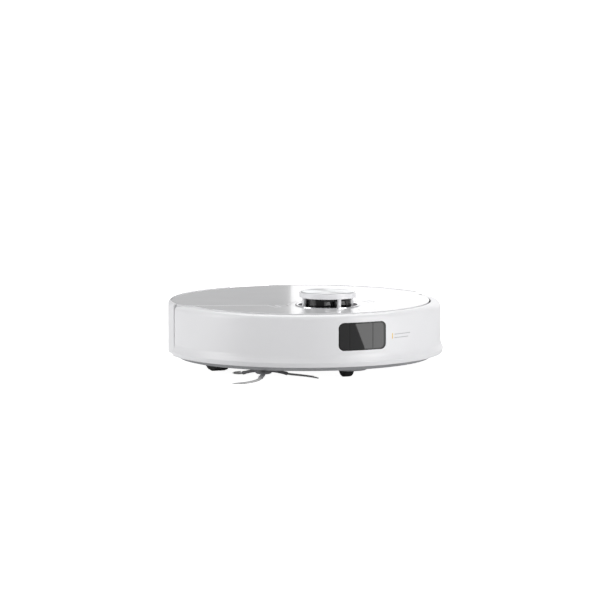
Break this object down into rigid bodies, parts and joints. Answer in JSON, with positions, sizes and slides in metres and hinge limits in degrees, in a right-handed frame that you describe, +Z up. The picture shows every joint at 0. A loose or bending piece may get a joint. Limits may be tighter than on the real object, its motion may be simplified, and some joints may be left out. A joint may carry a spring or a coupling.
{
  "type": "robot vacuum cleaner",
  "caption": "Round robot vacuum with laser turret, sprung bumper, flip-up lid over a dust bin, drive wheels, caster, side brush and twin rollers.",
  "frame": {"origin": "on the floor under the body's vertical axis", "axes": "+Z up, -Y towards the front of the robot, +X towards the robot's left side"},
  "size_m": [0.35, 0.3465, 0.101],
  "materials": {
    "white_gloss": "glossy moulded white plastic",
    "white_satin": "satin moulded white plastic",
    "black_gloss": "glossy black plastic",
    "black_plastic": "fine moulded texture",
    "grey_plastic": "fine moulded texture",
    "light_grey_plastic": "fine moulded texture",
    "dark_grey_plastic": "fine moulded texture",
    "chrome_trim": "polished",
    "brushed_disc": "spun brushed",
    "tinted_window": "smoked clear plastic, polished",
    "tyre_rubber": "moulded rubber",
    "brush_rubber": "soft rubber",
    "bristle_nylon": "nylon filament",
    "contact_metal": "nickel plated",
    "steel_screw": "zinc plated",
    "circuit_board": "solder mask",
    "battery_wrap": "shrink wrap",
    "motor_case": "drawn steel",
    "smoked_clear": "smoked clear plastic",
    "filter_paper": "pleated filter paper",
    "print_ink": "printed ink",
    "white_switch": "moulded"
  },
  "bodies": {
    "chassis": {"chassis_pan": "light_grey_plastic", "chassis_screws": "steel_screw", "deck_frame": "black_plastic", "top_deck": "white_gloss", "rear_shell": "white_satin", "exhaust_grille": "black_plastic", "brush_chamber": "black_plastic", "brush_drive": "dark_grey_plastic", "wheel_well_left": "black_plastic", "wheel_well_right": "black_plastic", "caster_socket": "grey_plastic", "side_brush_drive": "dark_grey_plastic", "turret_ring": "chrome_trim", "lidar_base": "black_plastic", "lidar_motor": "motor_case", "lidar_belt": "tyre_rubber", "button_board": "circuit_board", "main_board": "circuit_board", "battery_pack": "battery_wrap", "battery_cover": "grey_plastic", "infrared_windows": "tinted_window", "charging_contacts": "contact_metal", "speaker": "black_plastic", "sensor_module": "black_plastic", "bumper_switches": "white_switch", "bin_bay": "dark_grey_plastic", "air_duct": "dark_grey_plastic", "fan_housing": "black_plastic", "hinge_brackets": "steel_screw"},
    "bumper": {"bumper_shell": "white_satin", "window_bezel": "black_gloss", "window_panes": "tinted_window", "print_marks": "print_ink"},
    "lid": {"lid_panel": "white_gloss"},
    "bin": {"bin_box": "smoked_clear", "bin_cover": "dark_grey_plastic", "filter_pleats": "filter_paper", "filter_frame": "grey_plastic"},
    "bin_bail": {"bin_handle": "grey_plastic"},
    "turret": {"turret_cage": "white_gloss", "turret_disc": "brushed_disc"},
    "lidar_rotor": {"lidar_head": "black_gloss", "lidar_lenses": "tinted_window"},
    "lidar_drive_wheel": {"lidar_pulley": "motor_case"},
    "power_button": {"button_power": "white_gloss"},
    "home_button": {"button_home": "white_gloss"},
    "fan_wheel": {"impeller": "dark_grey_plastic"},
    "caster": {"caster_fork": "grey_plastic"},
    "caster_roll": {"caster_wheel": "tyre_rubber"},
    "side_brush": {"side_brush_hub": "brush_rubber", "side_brush_bristles": "bristle_nylon"},
    "front_roller": {"roller_front": "brush_rubber"},
    "rear_roller": {"roller_rear": "brush_rubber"},
    "guard": {"brush_guard": "grey_plastic"},
    "suspension_left": {"wheel_arm_left": "dark_grey_plastic"},
    "wheel_left": {"wheel_hub_left": "dark_grey_plastic", "tyre_left": "tyre_rubber"},
    "suspension_right": {"wheel_arm_right": "dark_grey_plastic"},
    "wheel_right": {"wheel_hub_right": "dark_grey_plastic", "tyre_right": "tyre_rubber"}
  },
  "joints": [
    {"name": "bumper_press", "type": "slide", "parent": "chassis", "child": "bumper", "axis": [0, 1, 0], "range_m": [0, 0.003], "stiffness_N_per_m": 700, "springref_m": -0.002},
    {"name": "lid_hinge", "type": "hinge", "parent": "chassis", "child": "lid", "pos_m": [0, -0.056, 0.0795], "axis": [1, 0, 0], "range_deg": [0, 70]},
    {"name": "bin_lift", "type": "slide", "parent": "chassis", "child": "bin", "axis": [0, 0, 1], "range_m": [0, 0.0491]},
    {"name": "bin_bail_hinge", "type": "hinge", "parent": "bin", "child": "bin_bail", "pos_m": [-0.01, 0.0635, 0.0764], "axis": [1, 0, 0], "range_deg": [0, 57.5]},
    {"name": "turret_press", "type": "slide", "parent": "chassis", "child": "turret", "axis": [0, 0, -1], "range_m": [0, 0.001], "stiffness_N_per_m": 900, "springref_m": -0.002},
    {"name": "lidar_spin", "type": "hinge", "parent": "chassis", "child": "lidar_rotor", "pos_m": [0, -0.068, 0.08], "axis": [0, 0, 1], "continuous": true},
    {"name": "lidar_drive_spin", "type": "hinge", "parent": "chassis", "child": "lidar_drive_wheel", "pos_m": [0.052, -0.068, 0.07], "axis": [0, 0, 1], "continuous": true},
    {"name": "power_button_press", "type": "slide", "parent": "chassis", "child": "power_button", "axis": [0, 0, -1], "range_m": [0, 0.0008], "stiffness_N_per_m": 600, "springref_m": -0.001},
    {"name": "home_button_press", "type": "slide", "parent": "chassis", "child": "home_button", "axis": [0, 0, -1], "range_m": [0, 0.0008], "stiffness_N_per_m": 600, "springref_m": -0.001},
    {"name": "fan_spin", "type": "hinge", "parent": "chassis", "child": "fan_wheel", "pos_m": [0.095, 0.088, 0.04], "axis": [0, 0, 1], "continuous": true},
    {"name": "caster_swivel", "type": "hinge", "parent": "chassis", "child": "caster", "pos_m": [0, -0.132, 0.03], "axis": [0, 0, 1], "continuous": true},
    {"name": "caster_wheel_spin", "type": "hinge", "parent": "caster", "child": "caster_roll", "pos_m": [0, -0.1215, 0.012], "axis": [1, 0, 0], "continuous": true},
    {"name": "side_brush_spin", "type": "hinge", "parent": "chassis", "child": "side_brush", "pos_m": [-0.102, -0.098, 0.01], "axis": [0, 0, 1], "continuous": true},
    {"name": "rear_roller_spin", "type": "hinge", "parent": "chassis", "child": "rear_roller", "pos_m": [0, 0.01375, 0.026], "axis": [1, 0, 0], "continuous": true},
    {"name": "front_roller_spin", "type": "hinge", "parent": "chassis", "child": "front_roller", "pos_m": [0, -0.02575, 0.026], "axis": [1, 0, 0], "continuous": true},
    {"name": "brush_guard_hinge", "type": "hinge", "parent": "chassis", "child": "guard", "pos_m": [0, 0.03115, 0.01265], "axis": [1, 0, 0], "range_deg": [0, 95]},
    {"name": "suspension_left_drop", "type": "hinge", "parent": "chassis", "child": "suspension_left", "pos_m": [0.0952, -0.036, 0.05], "axis": [-1, 0, 0], "range_deg": [0, 14], "stiffness_Nm_per_rad": 0.25, "springref_deg": 34.38},
    {"name": "wheel_left_spin", "type": "hinge", "parent": "suspension_left", "child": "wheel_left", "pos_m": [0.1205, 0, 0.036], "axis": [1, 0, 0], "continuous": true},
    {"name": "suspension_right_drop", "type": "hinge", "parent": "chassis", "child": "suspension_right", "pos_m": [-0.0952, -0.036, 0.05], "axis": [-1, 0, 0], "range_deg": [0, 14], "stiffness_Nm_per_rad": 0.25, "springref_deg": 34.38},
    {"name": "wheel_right_spin", "type": "hinge", "parent": "suspension_right", "child": "wheel_right", "pos_m": [-0.1205, 0, 0.036], "axis": [1, 0, 0], "continuous": true}
  ],
  "couplings": [
    {"joint": "bin_lift", "follows": "lid_hinge", "m_per_rad": 0.04},
    {"joint": "bin_bail_hinge", "follows": "lid_hinge", "ratio": 0.8},
    {"joint": "lidar_drive_spin", "follows": "lidar_spin", "ratio": 4},
    {"joint": "front_roller_spin", "follows": "rear_roller_spin", "ratio": -1}
  ]
}
